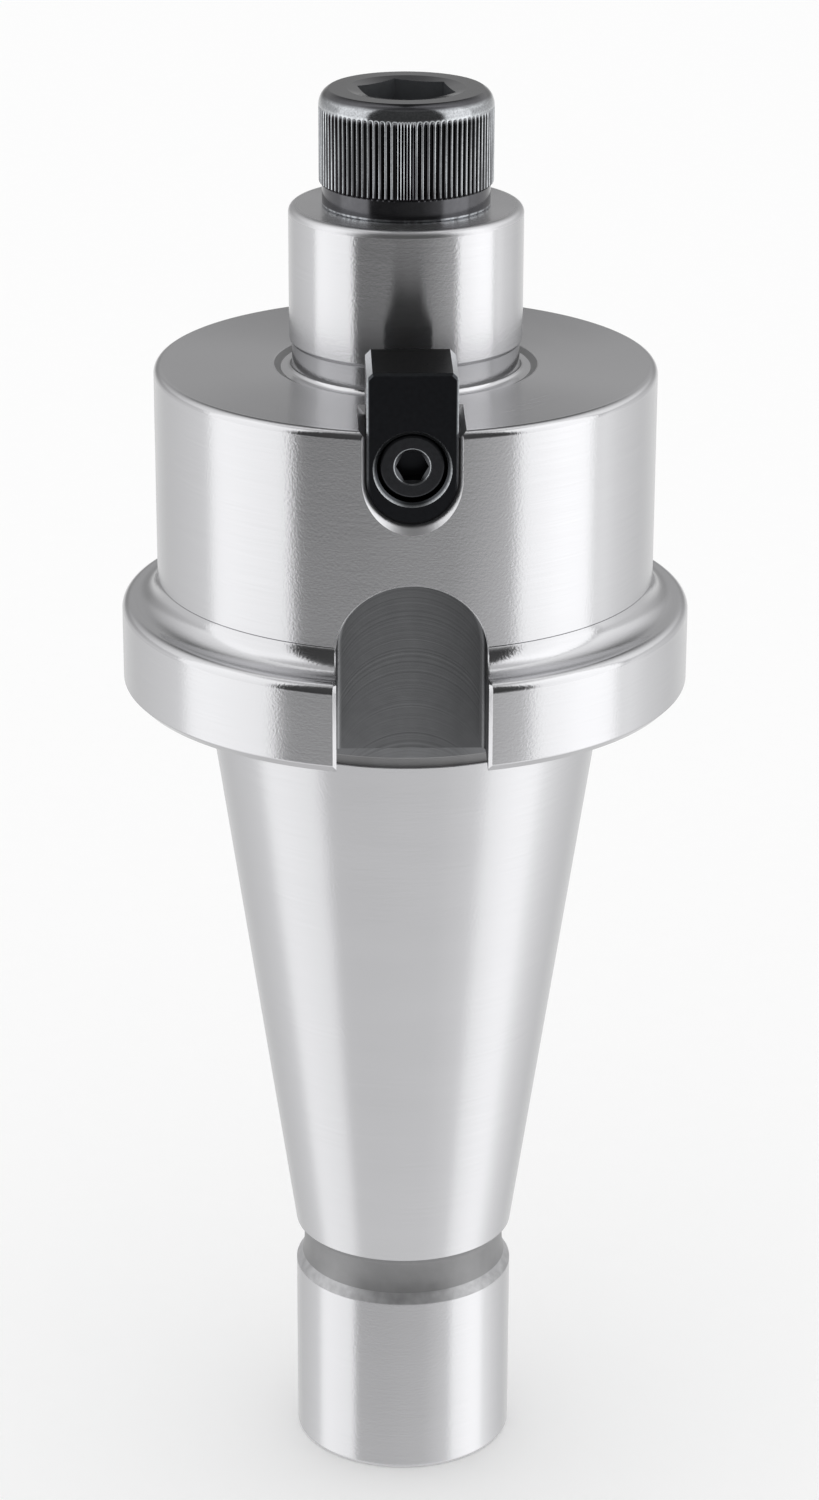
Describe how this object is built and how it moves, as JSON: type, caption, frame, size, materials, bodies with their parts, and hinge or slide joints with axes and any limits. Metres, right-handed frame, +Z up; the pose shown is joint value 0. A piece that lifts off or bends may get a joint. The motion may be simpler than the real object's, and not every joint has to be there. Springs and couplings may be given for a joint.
{
  "type": "shell mill arbor",
  "caption": "Steep-taper shell mill arbor with a slotted drive flange, keyed collar, cylindrical pilot and knurled socket-head lock screw.",
  "frame": {"origin": "middle of the tail end face, where the axis of the shank meets it", "axes": "+Z up the axis of the shank from the tail end to the lock screw, -Y towards the front drive key and its slot, X across them"},
  "size_m": [0.063, 0.0606, 0.1615],
  "materials": {
    "ground_steel": "case-hardened steel, ground bright on the working faces, dark in the slots and the neck",
    "lock_screw_black": "alloy steel with a black oxide finish, rubbed bright on the knurl's crests",
    "key_black": "hardened steel with a black oxide finish, bright on its bevels",
    "key_screw_black": "alloy steel with a black oxide finish"
  },
  "bodies": {
    "arbor": {"arbor_body": "ground_steel", "drive_key_front": "key_black", "drive_key_rear": "key_black", "key_screw_front": "key_screw_black", "key_screw_rear": "key_screw_black"},
    "lock_screw": {"lock_screw": "lock_screw_black"}
  },
  "joints": [
    {"name": "lock_screw_slide", "type": "slide", "parent": "arbor", "child": "lock_screw", "axis": [0, 0, 1], "range_m": [0, 0.032]}
  ]
}
